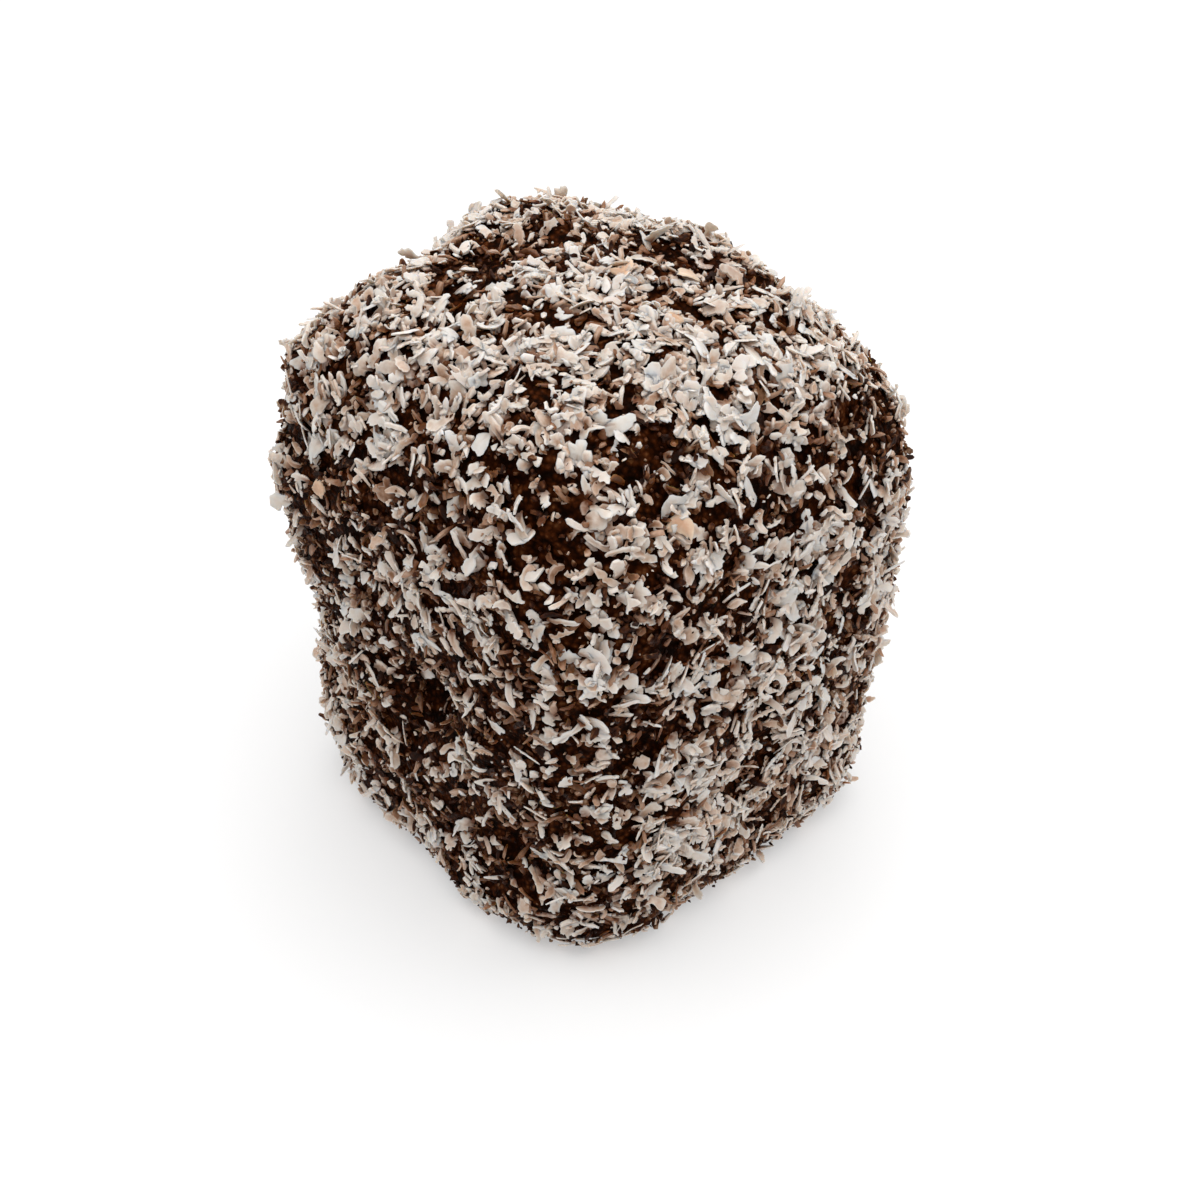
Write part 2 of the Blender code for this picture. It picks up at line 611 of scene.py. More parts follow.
PATCHES = (
    # The left side lies thin and the right side thick.
    Patch((0.1, -1.0, 0.45), 26.0, -0.1),
    Patch((1.0, 0.0, 0.5), 24.0, 0.14),
    # The pit in the left side and its tail.
    Patch((0.12, -0.98, 0.42), 4.6, -1.3, -4.8),
    Patch((0.04, -0.98, 0.36), 4.2, -0.8, -1.6),
    # Bare places on the left side and along its edge.
    Patch((0.52, -0.93, 0.21), 6.4, -0.8, -0.8),
    Patch((0.25, -0.96, 0.79), 5.0, -0.25, -0.6),
    Patch((0.66, -0.92, 0.78), 5.6, -0.05, -0.5),
    Patch((0.72, -0.93, 0.54), 4.4, -0.15, -0.4),
    Patch((-0.47, -0.99, 0.58), 4.6, -0.35, -0.3),
    Patch((0.36, -0.80, 0.90), 3.0, -0.15, -0.4),
    Patch((0.71, -0.86, 0.82), 3.2, -0.25, -0.5),
    # A drift on the right side, then its bare places.
    Patch((0.97, -0.42, 0.75), 3.4, 0.35, 0.2),
    Patch((0.88, 0.30, 0.86), 3.4, -0.5, -0.4),
    Patch((1.0, -0.30, 0.63), 3.2, -0.6, -0.4),
    Patch((1.0, 0.33, 0.56), 3.6, -0.6, -0.5),
    Patch((0.97, 0.43, 0.42), 3.0, -0.3, -0.5),
    Patch((0.98, -0.54, 0.64), 3.6, -0.55, -0.4),
    Patch((0.94, -0.64, 0.49), 5.6, -0.48, -0.5),
    Patch((0.93, -0.69, 0.37), 3.0, -0.4, -0.4),
    Patch((0.90, 0.55, 0.81), 3.6, -0.35, -0.4),
    Patch((0.84, -0.78, 0.11), 3.0, -0.3, -0.2),
    # The crack on the top.
    Patch((0.36, 0.34, 0.99), 3.8, -1.1, -2.2),
    # Bare places on the top.
    Patch((0.13, 0.24, 1.0), 4.8, -0.5, -0.3),
    Patch((0.18, -0.36, 1.0), 3.4, -0.4, -0.4),
    Patch((0.64, -0.42, 0.96), 3.2, -0.5, -0.4),
    Patch((0.80, -0.54, 0.90), 2.8, -0.3, -0.4),
    # The notch in the left shoulder, and what lies bare round it.
    Patch((-0.30, -0.17, 1.0), 6.4, -0.9, -0.9),
    Patch((-0.70, -0.20, 0.97), 4.0, -0.6, -0.5),
    Patch((-0.37, -0.96, 0.76), 3.4, -0.8, -0.5),
    # Drifts along the edges and the near corner.
    Patch((0.10, -0.72, 0.95), 9.0, 0.5, 0.2),
    Patch((-0.20, -0.62, 0.97), 4.0, 0.3, 0.2),
    Patch((0.87, -0.65, 0.83), 4.2, 0.7, 0.4),
    Patch((0.87, -0.85, 0.66), 4.2, 0.5, 0.4),
    Patch((0.86, -0.10, 0.89), 4.8, 0.35, 0.2),
    # Drifts at the foot, on the top and on the right side.
    Patch((0.95, -0.43, 0.24), 6.0, 0.5, 0.4),
    Patch((0.96, 0.32, 0.25), 5.8, 0.6, 0.2),
    Patch((0.62, -0.18, 0.98), 5.4, 0.8, 0.4),
    Patch((0.12, 0.06, 1.0), 5.0, 0.5, 0.3),
    Patch((1.0, 0.17, 0.66), 6.0, 0.65, 0.3),
    Patch((0.77, 0.38, 0.92), 5.0, 0.6, 0.2),
    # Drifts round the pit, and along the left edge again.
    Patch((-0.14, -0.97, 0.36), 2.8, 0.4, 0.4),
    Patch((0.18, -1.0, 0.57), 4.0, 0.4, 0.4),
    Patch((0.40, -0.98, 0.38), 2.8, 0.3, 0.3),
    Patch((0.75, -0.86, 0.17), 2.8, 0.35, 0.3),
    Patch((0.48, -0.94, 0.81), 2.8, 0.4, 0.3),
    Patch((0.50, -0.74, 0.92), 3.2, 0.3, 0.2),
    # Single ones all over the cake.
    Patch((0.77, 0.16, 0.93), 3.6, 0.45, 0.2),
    Patch((0.99, -0.26, 0.49), 4.6, 0.5, 0.3),
    Patch((-0.39, -0.95, 0.16), 3.2, 0.4, 0.3),
    Patch((-0.10, -0.95, 0.13), 3.4, -0.4, -0.2),
    Patch((0.40, -0.08, 1.0), 4.4, 0.4, 0.2),
    Patch((-0.12, -0.98, 0.62), 4.6, 0.25, 0.2),
    Patch((0.95, -0.60, 0.30), 5.0, 0.25, 0.2),
)


@dataclass(frozen=True)
class Cover:
    """How much of the icing the coconut hides from place to place.

    Attributes:
        usual: the share that is hidden on the sides.
        on_top: what the top has more.
        wide_mm: the width of the broad swings.
        wide_share: how strong they are.
        close_mm: the width of the small swings.
        close_share: how strong they are.
        settled: how far a patch evens out the swings where it lies.
        least: the thinnest cover.
        most: the thickest cover.
    """

    usual: float = 0.58
    on_top: float = 0.14
    wide_mm: float = 5.0
    wide_share: float = 0.4
    close_mm: float = 2.1
    close_share: float = 0.42
    settled: float = 0.65
    least: float = 0.15
    most: float = 0.93

    def at(self, points: Array, half: Array) -> Array:
        """The share of the icing that is hidden at each point.

        Args:
            points: (N, 3) places in millimetres.
            half: the half sides across X and Y, and the whole height.

        Returns:
            (N,) shares from least to most.
        """
        cover = self.usual + self.on_top * smoothstep(0.8, 0.97, points[:, 2] / half[2])
        ruled = np.zeros(len(points))
        for patch in PATCHES:
            felt = patch.strength(points, half)
            cover += patch.amount * felt
            if patch.reach < BROAD_PATCH_MM:
                ruled = np.maximum(ruled, felt)
        swings = self.wide_share * noise_at(points, self.wide_mm, 1)
        swings += self.close_share * noise_at(points, self.close_mm, 2)
        cover += swings * (1 - self.settled * ruled)
        return np.clip(cover, self.least, self.most)


@dataclass
class CakeForm:
    """The lumpy body of icing under the coconut, and where pieces can sit on it.

    Attributes:
        mesh_mm: the width of one face of the body.
        inset_mm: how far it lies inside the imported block, which leaves room for coconut.
        rounds: passes that even out the steps left by the remesh.
        lumps: the width and height of each size of lump in the icing.
        pressed: the share of that room that the cake's weight takes away under it.
        rubbed_below: the share of the coconut that is missing from the underside.
        fallen_out: the share that is missing from the deepest hollows.
    """

    mesh_mm: float = 0.8
    inset_mm: float = 0.85
    rounds: int = 4
    lumps: tuple[Span, ...] = ((6.0, 0.7), (2.8, 0.55))
    pressed: float = 0.6
    rubbed_below: float = 0.75
    fallen_out: float = 0.85

    def build(self) -> None:
        """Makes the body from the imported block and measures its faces."""
        body = placed("body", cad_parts[CAD_NODE].data.copy())
        remesh = body.modifiers.new("remesh", "REMESH")
        remesh.mode = "VOXEL"
        remesh.voxel_size = self.mesh_mm * MM
        smooth = body.modifiers.new("smooth", "SMOOTH")
        smooth.factor = 0.5
        smooth.iterations = self.rounds
        graph = bpy.context.evaluated_depsgraph_get()
        self.mesh = bpy.data.meshes.new_from_object(body.evaluated_get(graph))
        bpy.data.objects.remove(body)
        self.points, self.normals = self.measured()
        inset = self.inset_mm * (1 - self.pressed * smoothstep(0.2, 0.9, -self.normals[:, 2]))
        self.points = self.points - inset[:, None] * self.normals
        low, high = (np.array(c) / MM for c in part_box(CAD_NODE))
        self.low, self.high = low, high
        self.half = np.array([(high[0] - low[0]) / 2, (high[1] - low[1]) / 2, high[2]])
        rise = np.zeros(len(self.points))
        for number, (size, height) in enumerate(self.lumps):
            rise += height * noise_at(self.points, size, 3 + number)
        for patch in PATCHES:
            rise += patch.rise * patch.strength(self.points, self.half)
        # The foot stays flat, because the cake's weight rests on it.
        rise *= smoothstep(0.5, 4.0, self.points[:, 2])
        self.points, self.normals = self.moved(self.points + rise[:, None] * self.normals)
        self.mesh.calc_loop_triangles()
        corners = np.empty(len(self.mesh.loop_triangles) * 3, np.int32)
        self.mesh.loop_triangles.foreach_get("vertices", corners)
        self.faces = corners.reshape(-1, 3)
        a, b, c = (self.points[self.faces[:, i]] for i in range(3))
        self.areas = np.linalg.norm(np.cross(b - a, c - a), axis=1) / 2
        self.cover = Cover().at(self.points, self.half)
        self.face_cover = self.cover[self.faces].mean(axis=1)
        # Where the cake has stood, the coat is rubbed thin.
        down = smoothstep(0.6, 0.95, -self.normals[self.faces].mean(axis=1)[:, 2])
        self.areas = self.areas * (1 - self.rubbed_below * down)
        # Loose pieces have fallen out of the deepest hollows.
        for patch in PATCHES:
            if patch.rise < DEEP_HOLLOW_MM:
                felt = patch.strength(self.points, self.half)[self.faces].mean(axis=1)
                self.areas = self.areas * (1 - self.fallen_out * smoothstep(0.2, 0.6, felt))

    def measured(self) -> tuple[Array, Array]:
        """Reads the body.

        Returns:
            (V, 3) corners in millimetres, and (V, 3) the way out at each.
        """
        flat = np.empty(len(self.mesh.vertices) * 3, np.float32)
        self.mesh.vertices.foreach_get("co", flat)
        points = flat.reshape(-1, 3).astype(float) / MM
        self.mesh.vertices.foreach_get("normal", flat)
        return points, flat.reshape(-1, 3).astype(float)

    def moved(self, points: Array) -> tuple[Array, Array]:
        """Moves the corners of the body, and measures it again.

        Args:
            points: (V, 3) places in millimetres.

        Returns:
            What the body measures then.
        """
        set_corners(self.mesh, points)
        self.mesh.update()
        return self.measured()

    def scatter(self, count: int, weights: Array, rng: Chance) -> tuple[Array, Array, Array]:
        """Picks places on the body.

        Args:
            count: how many places.
            weights: (F,) how strongly each face draws pieces, for equal areas.
            rng: the source of chance.

        Returns:
            (count, 3) places, (count, 3) normals and (count,) values of the cover.
        """
        odds = self.areas * weights
        picked = rng.choice(len(odds), size=count, p=odds / odds.sum())
        first, second = rng.random(count), rng.random(count)
        over = first + second > 1
        first[over], second[over] = 1 - first[over], 1 - second[over]
        shares = np.stack([1 - first - second, first, second], axis=1)
        corners = self.faces[picked]
        places = np.einsum("nc,ncd->nd", shares, self.points[corners])
        normals = unit(np.einsum("nc,ncd->nd", shares, self.normals[corners]))
        cover = np.einsum("nc,nc->n", shares, self.cover[corners])
        return places, normals, cover

    def nearest(self, place: Array) -> tuple[Array, Array]:
        """The corner of the body nearest to a place, and the way out there."""
        index = int(np.argmin(np.linalg.norm(self.points - place, axis=1)))
        return self.points[index], self.normals[index]


# ---------------------------------------------------------------- the icing


@dataclass
class IcingCoat:
    """The coat of icing: the lumpy body with crumbs of cake baked into its skin.

    Attributes:
        lump_mm: the width of its small lumps.
        lump_height: how high they are in millimetres.
        grain_mm: the width of the crumbs in its skin.
        grain_height: how high they are in millimetres.
        grain_colour_and_gap_shade: how much lighter they are than the gaps between them, partly their
            own colour and partly painted shade in the gaps.
        hollow_shade: painted shade: how much darker it is where hardly any coconut lies, in the bare
            hollows.
        clear_mm: how far its lowest corners stay above the floor.
    """

    lump_mm: float = 1.4
    lump_height: float = 0.2
    grain_mm: float = 0.9
    grain_height: float = 0.4
    grain_colour_and_gap_shade: float = 0.12
    hollow_shade: float = 0.22
    clear_mm: float = 0.05

    def build(self, form: CakeForm) -> Object:
        """Makes the coat.

        Args:
            form: the lumpy body.

        Returns:
            The piece.
        """
        grains = grains_at(form.points, self.grain_mm, 7)
        height = self.lump_height * noise_at(form.points, self.lump_mm, 6)
        height += self.grain_height * (grains - 0.5)
        points = form.points + height[:, None] * form.normals
        points[:, 2] = np.maximum(points[:, 2], self.clear_mm)
        mesh = form.mesh
        mesh.name = "icing_coat"
        set_corners(mesh, points)
        # Painted shade: the coat is darker where hardly any coconut lies, which is in the bare
        # hollows.
        deep = 1 - smoothstep(0.04, 0.3, form.cover)
        # The crumbs are lighter than the gaps between them, partly their own colour and partly
        # painted shade in the gaps.
        point_values(mesh, TONE, self.grain_colour_and_gap_shade * (grains - 0.4) - self.hollow_shade * deep)
        mesh.polygons.foreach_set("use_smooth", np.ones(len(mesh.polygons), bool))
        mesh.update()
        return piece_of(mesh, ChocolateIcing("chocolate_icing_poured"))


# ---------------------------------------------------------------- the coconut


@dataclass
class Shapes:
    """All pieces of one kind in their own frames, lying along X with Z up.

    Attributes:
        points: (N, V, 3) corners in millimetres about each piece's middle.
        faces: one piece's faces, one (F, S) array for each count of sides.
        flat: for each of those arrays, (F, S, 2) places on one piece's own map, 0 to 1.
        grain: (N, V, 2) millimetres along the piece and the share across it, which is 0
            in the middle and 1 or -1 at the rim.
        middle: (N, V) how near each corner is to the middle, from 0 at the ends to 1.
    """

    points: Array
    faces: list[Array]
    flat: list[Array]
    grain: Array
    middle: Array


@dataclass(frozen=True, kw_only=True)
class Cut:
    """How one kind of coconut piece is cut. Lengths are in millimetres.

    Attributes:
        name: the name of the piece that holds all of this kind.
        count: how many there are.
        length: shortest and longest.
        half_width: narrowest and widest.
        thickness: thinnest and thickest.
        ragged: how uneven the outline is from one corner to the next.
        lobes: how strongly the outline swings in and out.
        bend: how far it curls up at its ends, in degrees.
    """

    name: str
    count: int
    length: Span
    half_width: Span
    thickness: Span
    ragged: float
    lobes: float
    bend: float

    def spread(self, limits: Span, bias: float, rng: Chance) -> Array:
        """One size for each piece, nearer the low limit where bias is above 1."""
        return between(limits, rng.random(self.count) ** bias)

    def shapes(self, rng: Chance) -> Shapes:
        """Draws every piece of this cut."""
        raise NotImplementedError


@dataclass(frozen=True, kw_only=True)
class FlakeCut(Cut):
    """Broad pieces: flat plates that are torn all round. Lengths are in millimetres.

    Attributes:
        sides: corners of the outline.
        teeth: how far the small teeth of the rim stand out.
        notch: how deep the deepest tears are.
        notched: the share of the corners that are torn in deeply.
        bow: how far the ends lie off the middle line, as a share of the half width.
        square: how square the outlines are: 2 gives an ellipse, and more a box.
        uneven_rim: how much the thickness of the rim varies.
    """

    sides: int
    teeth: float = 0.07
    notch: float = 0.26
    notched: float = 0.08
    bow: float = 0.4
    square: Span = (1.7, 4.5)
    uneven_rim: float = 0.3

    def ripple(self, phase: Array, waves: int, strength: float | Array, rng: Chance) -> Array:
        """How far the outlines swing out and in, so many times round each piece.

        Args:
            phase: (count, sides) how far round each corner is, in radians.
            waves: how many times they swing.
            strength: how far in millimetres, for all pieces alike or for each corner.
            rng: the source of chance.

        Returns:
            (count, sides) millimetres.
        """
        start = rng.uniform(0, 2 * np.pi, (self.count, 1))
        depth = strength * rng.uniform(0.2, 1.2, (self.count, 1))
        return depth * np.sin(waves * phase + start)

    def outline(self, rng: Chance) -> Array:
        """The torn outlines.

        Args:
            rng: the source of chance.

        Returns:
            (count, sides, 2) places along and across each piece.
        """
        count, sides = self.count, self.sides
        along = self.spread(self.length, 1.3, rng)[:, None] / 2
        across = np.minimum(self.spread(self.half_width, 1.1, rng)[:, None], along)
        # An ellipse is walked once round, so that the corners can be spaced along its rim.
        turns = np.linspace(0, 2 * np.pi, 49)
        run = np.cumsum(np.hypot(along * np.sin(turns), across * np.cos(turns)), axis=1)
        run = (run - run[:, :1]) / (run[:, -1:] - run[:, :1])
        steps = np.cumsum(varied(UNEVEN, (count, sides), rng), axis=1)
        steps /= steps[:, -1:]
        turn = np.array([np.interp(s, r, turns) for s, r in zip(steps, run)])
        angle = np.arctan2(across * np.sin(turn), along * np.cos(turn))
        # It is squared up a little, and then its rim is moved in and out.
        square = rng.uniform(*self.square, (count, 1))
        reach = np.abs(np.cos(angle) / along) ** square
        reach = (reach + np.abs(np.sin(angle) / across) ** square) ** (-1 / square)
        out = unit(np.stack([across * np.cos(turn), along * np.sin(turn)], axis=-1))
        phase = 2 * np.pi * steps
        moved = self.ragged * rng.uniform(-1, 1, (count, sides))
        for waves in (2, 3, 5):
            moved += self.ripple(phase, waves, self.lobes / waves**0.5, rng)
        # One part of the rim stays smooth, as the skin of the flesh does.
        there = rng.uniform(0, 2 * np.pi, (count, 1))
        bitten = smoothstep(-0.9, 0.3, np.sin(phase + there))
        for waves in (6, 8, 11):
            moved += self.ripple(phase, waves, self.teeth * bitten, rng)
        nicked = rng.random((count, sides)) < self.notched
        moved -= nicked * self.notch * rng.uniform(0.4, 1.0, (count, sides))
        # A narrow piece is moved less, and no corner comes near its middle.
        moved *= np.minimum(1.0, across / 0.4)
        flat = np.stack([reach * np.cos(angle), reach * np.sin(angle)], axis=-1)
        flat += moved[..., None] * out
        away = np.linalg.norm(flat, axis=-1, keepdims=True)
        flat *= np.maximum(away, 0.35 * across[..., None]) / away
        # One end is broader than the other, and both may bow to the same side.
        where = flat[..., 0] / along
        flat[..., 1] *= 1 + 0.4 * rng.uniform(-1, 1, (count, 1)) * where
        bow = self.bow * np.clip(rng.normal(0, 1, (count, 1)), -2, 2) * across
        flat[..., 1] += bow * where**2
        return flat

    def shapes(self, rng: Chance) -> Shapes:
        """Draws every flake.

        Args:
            rng: the source of chance.

        Returns:
            The shapes.
        """
        count, sides = self.count, self.sides
        flat = self.outline(rng)
        half = np.abs(flat[..., 0]).max(axis=1, keepdims=True)
        curl = np.radians(self.bend) * rng.normal(0, 1, (count, 1)) * half
        cup = np.radians(self.bend) * rng.normal(0, 0.6, (count, 1)) * half
        away = np.linalg.norm(flat, axis=-1) / half
        rise = curl * (flat[..., 0] / half) ** 2 + cup * away**2
        thick = self.spread(self.thickness, 1.0, rng)[:, None]
        # The plate is thinner at its rim, and its upper face stands in from the lower one.
        rim = 0.34 * thick * varied(self.uneven_rim, (count, sides), rng)
        inset = 1 - np.minimum(0.16 / np.linalg.norm(flat, axis=-1), 0.3) * thick / 0.3
        lower = np.concatenate([flat, (rise - rim)[..., None]], axis=-1)
        upper = np.concatenate([flat * inset[..., None], (rise + rim)[..., None]], axis=-1)
        middles = np.zeros((count, 2, 3))
        middles[..., 2] = np.concatenate([-thick, thick], axis=1) / 2
        points = np.concatenate([lower, upper, middles], axis=1)
        points -= points.mean(axis=1, keepdims=True)
        here = np.arange(sides)
        after = (here + 1) % sides
        below, above = np.full(sides, 2 * sides), np.full(sides, 2 * sides + 1)
        fans = [np.stack([here + sides, after + sides, above], axis=-1)]
        fans.append(np.stack([after, here, below], axis=-1))
        walls = np.stack([here, after, after + sides, here + sides], axis=-1)
        middle = np.concatenate([np.zeros(2 * sides), [1.0, 1.0]])
        middle = np.broadcast_to(middle, points.shape[:2])
        grain = np.stack([points[..., 0], 1 - middle], axis=-1)
        return Shapes(points, [np.concatenate(fans), walls], self.maps(), grain, middle)

    def maps(self) -> list[Array]:
        """Lays one flake out flat: its faces as two discs, and its rim as a band above.

        Returns:
            (F, S, 2) places from 0 to 1, for the fans and for the walls.
        """
        turn = 2 * np.pi * np.arange(self.sides + 1) / self.sides
        discs = []
        for centre, turned in ((0.26, False), (0.74, True)):
            rim = np.stack([centre + 0.23 * np.cos(turn), 0.42 + 0.39 * np.sin(turn)], axis=-1)
            middle = np.broadcast_to([centre, 0.42], (self.sides, 2))
            corners = [rim[1:], rim[:-1]] if turned else [rim[:-1], rim[1:]]
            discs.append(np.stack([*corners, middle], axis=1))
        near = 0.03 + 0.94 * np.arange(self.sides) / self.sides
        far = near + 0.94 / self.sides
        low, high = np.full(self.sides, 0.87), np.full(self.sides, 0.97)
        band = np.stack([near, low, far, low, far, high, near, high], axis=-1)
        return [np.concatenate(discs), band.reshape(-1, 4, 2)]


@dataclass(frozen=True, kw_only=True)
class ShredCut(Cut):
    """Long pieces: cross-sections in a row, whose two sides run as the outline says.

    Attributes:
        outline: how the sides run.
        rings: cross-sections along a piece.
        curve: how far it curves within its own plane, in degrees.
        twist: how far it turns round its own length, in degrees.
        bevel: how far the upper face stands in from the lower one.
        hooked: the share of pieces that curve far round.
        uneven_thickness: how much the thickness varies along a piece.
        skew: how far the ends are cut aslant.
    """

    outline: Outline
    rings: int
    curve: float
    twist: float
    bevel: float = 0.07
    hooked: float = 0.08
    uneven_thickness: float = 0.18
    skew: float = 0.22

    def ring_shares(self, rng: Chance) -> Array:
        """(count, rings) places of the rings from 0 to 1, unevenly spaced."""
        places = np.cumsum(varied(UNEVEN, (self.count, self.rings - 1), rng), axis=1)
        return np.concatenate([np.zeros((self.count, 1)), places / places[:, -1:]], axis=1)

    def waves(self, share: Array, knots: int, rng: Chance) -> Array:
        """Slow random swings along each piece.

        Args:
            share: (count, rings) places of the rings.
            knots: how many stretches a piece is divided into.
            rng: the source of chance.

        Returns:
            (count, rings) values from -1 to 1.
        """
        drawn = rng.uniform(-1, 1, (self.count, knots + 1))
        where = share * (knots - 1e-6)
        left = where.astype(int)
        part = where - left
        part = part * part * (3 - 2 * part)
        row = np.arange(self.count)[:, None]
        return drawn[row, left] * (1 - part) + drawn[row, left + 1] * part

    def side(self, share: Array, toothed: bool, rng: Chance) -> Array:
        """One side's distance from the middle line at each ring.

        Args:
            share: (count, rings) places of the rings.
            toothed: whether this is the side with the teeth, on a toothed piece.
            rng: the source of chance.

        Returns:
            (count, rings) shares of the half width, which dip below zero at deep nicks.
        """
        count, rings = share.shape
        off_middle = np.abs(2 * share - 1)
        # The plain outline comes first: a leaf, a thread, a comb, or a strip with blunt ends.
        if self.outline is Outline.LEAF:
            lean = rng.uniform(0.6, 1.6, (count, 1))
            fullness = rng.uniform(0.6, 1.0, (count, 1))
            base = np.sin(np.pi * np.clip(share, 1e-4, 1) ** lean) ** fullness
            base = np.maximum(base, 0.12)
        elif self.outline is Outline.THREAD:
            base = 0.45 + 0.55 * np.sin(np.pi * (0.12 + 0.76 * share))
        elif self.outline is Outline.TOOTHED:
            teeth = rng.uniform(0.3, 1.3, (count, rings)) * (rng.random((count, rings)) < 0.5)
            base = 0.3 + teeth if toothed else np.full((count, rings), 0.5)
            base = base * (1 - 0.7 * off_middle**3)
        else:
            power = 7.0 if self.outline is Outline.STRIP else 4.5
            base = (1 - (0.96 * off_middle) ** power) ** (1 / 2.4)
        # Then it swings in and out, and the most lobed kinds are torn in here and there.
        nicks = rng.random((count, rings)) < 0.07 * (self.lobes > 0.3)
        swing = 1 + self.lobes * self.waves(share, 4, rng)
        ragged = varied(self.ragged, (count, rings), rng)
        return base * swing * ragged - nicks * rng.uniform(0.4, 1.0, (count, rings)) * base

    def shapes(self, rng: Chance) -> Shapes:
        """Draws every shred.

        Args:
            rng: the source of chance.

        Returns:
            The shapes.
        """
        count, rings = self.count, self.rings
        length = self.spread(self.length, 1.4, rng)
        share = self.ring_shares(rng)
        s = share - 0.5
        # The middle line curves within its own plane by the yaw and out of it by the pitch.
        turn = rng.normal(0, 1, (count, 1))
        hooked = rng.random((count, 1)) < self.hooked
        turn = np.where(hooked, np.sign(turn) * rng.uniform(3, 6, (count, 1)), turn)
        yaw = np.radians(self.curve) * (turn * s * 2 + 0.35 * self.waves(share, 3, rng))
        curl = np.abs(rng.normal(0, 1, (count, 1)))
        curl = np.where(rng.random((count, 1)) < 0.75, curl, -curl)
        pitch = np.radians(self.bend) * (curl * s * 2 + 0.3 * self.waves(share, 3, rng))
        flat, high = np.cos(pitch), np.sin(pitch)
        along = np.stack([np.cos(yaw) * flat, np.sin(yaw) * flat, high], axis=-1)
        steps = np.diff(share, axis=1)[..., None] * length[:, None, None]
        line = np.cumsum(steps * (along[:, 1:] + along[:, :-1]) / 2, axis=1)
        line = np.concatenate([np.zeros((count, 1, 3)), line], axis=1)
        line -= line.mean(axis=1, keepdims=True)
        # Each ring stands across that line, and turns round it by the roll.
        across = unit(np.stack([-np.sin(yaw), np.cos(yaw), np.zeros_like(yaw)], axis=-1))
        up = np.cross(along, across)
        roll = np.radians(self.twist) * (rng.normal(0, 1, (count, 1)) * s * 2)[..., None]
        side = across * np.cos(roll) + up * np.sin(roll)
        up = np.cross(along, side)
        width = self.spread(self.half_width, 1.2, rng)[:, None]
        left = width * self.side(share, True, rng)
        right = width * self.side(share, False, rng)
        # A deep nick never cuts a piece through.
        whole = np.maximum(left + right, 0.16 * width)
        middle = (right - left) / 2
        left, right = -middle + whole / 2, middle + whole / 2
        thick = self.spread(self.thickness, 1.0, rng)[:, None]
        thick = thick * (0.75 + 0.25 * (1 - (2 * s) ** 6))
        thick = thick * varied(self.uneven_thickness, (count, rings), rng)
        inset = np.minimum(self.bevel, 0.2 * whole)
        # Every ring has two corners below and two above, which stand in by the bevel.
        section = [(-left, -thick / 2), (right, -thick / 2)]
        section += [(right - inset, thick / 2), (-left + inset, thick / 2)]
        skew = rng.normal(0, self.skew, (count, 1)) * np.sign(s) * np.abs(2 * s) ** 4
        made = []
        for sideways, height in section:
            slide = (skew * sideways)[..., None] * along
            made.append(line + sideways[..., None] * side + height[..., None] * up + slide)
        points = np.stack(made, axis=2).reshape(count, rings * 4, 3)
        grain = np.repeat(share * length[:, None], 4, axis=1)
        grain = np.stack([grain, np.tile([-1.0, 1.0, 0.9, -0.9], (count, rings))], axis=-1)
        middle = np.repeat(1 - (2 * s) ** 2, 4, axis=1)
        return Shapes(points, self.faces(), self.maps(), grain, middle)

    def faces(self) -> list[Array]:
        """The faces of one piece.

        Returns:
            (F, 4) corner numbers of the walls between the rings and of the two ends.
        """
        ring = np.arange(self.rings - 1)[:, None] * 4
        side = np.arange(4)[None, :]
        after = (side + 1) % 4
        walls = np.stack([ring + side, ring + after, ring + 4 + after, ring + 4 + side], -1)
        last = (self.rings - 1) * 4
        ends = np.stack([np.arange(4)[::-1], last + np.arange(4)])
        return [np.concatenate([walls.reshape(-1, 4), ends])]

    def maps(self) -> list[Array]:
        """Lays one piece out flat: its sides as bands along it, and its ends beside them.

        Returns:
            (F, 4, 2) places from 0 to 1, in the order of the faces.
        """
        bands = np.array([0.03, 0.37, 0.5, 0.84, 0.97])
        places = 0.03 + 0.8 * np.arange(self.rings) / (self.rings - 1)
        near, far = places[:-1, None] + np.zeros(4), places[1:, None] + np.zeros(4)
        low, high = np.zeros_like(near) + bands[:-1], np.zeros_like(near) + bands[1:]
        walls = np.stack([near, low, near, high, far, high, far, low], axis=-1)
        angle = np.pi / 2 * (np.arange(4) + 0.5)
        disc = np.stack([0.925 + 0.05 * np.cos(angle), 0.25 + 0.18 * np.sin(angle)], axis=-1)
        ends = np.stack([disc[::-1], disc + np.array([0.0, 0.5])])
        return [np.concatenate([walls.reshape(-1, 4, 2), ends])]


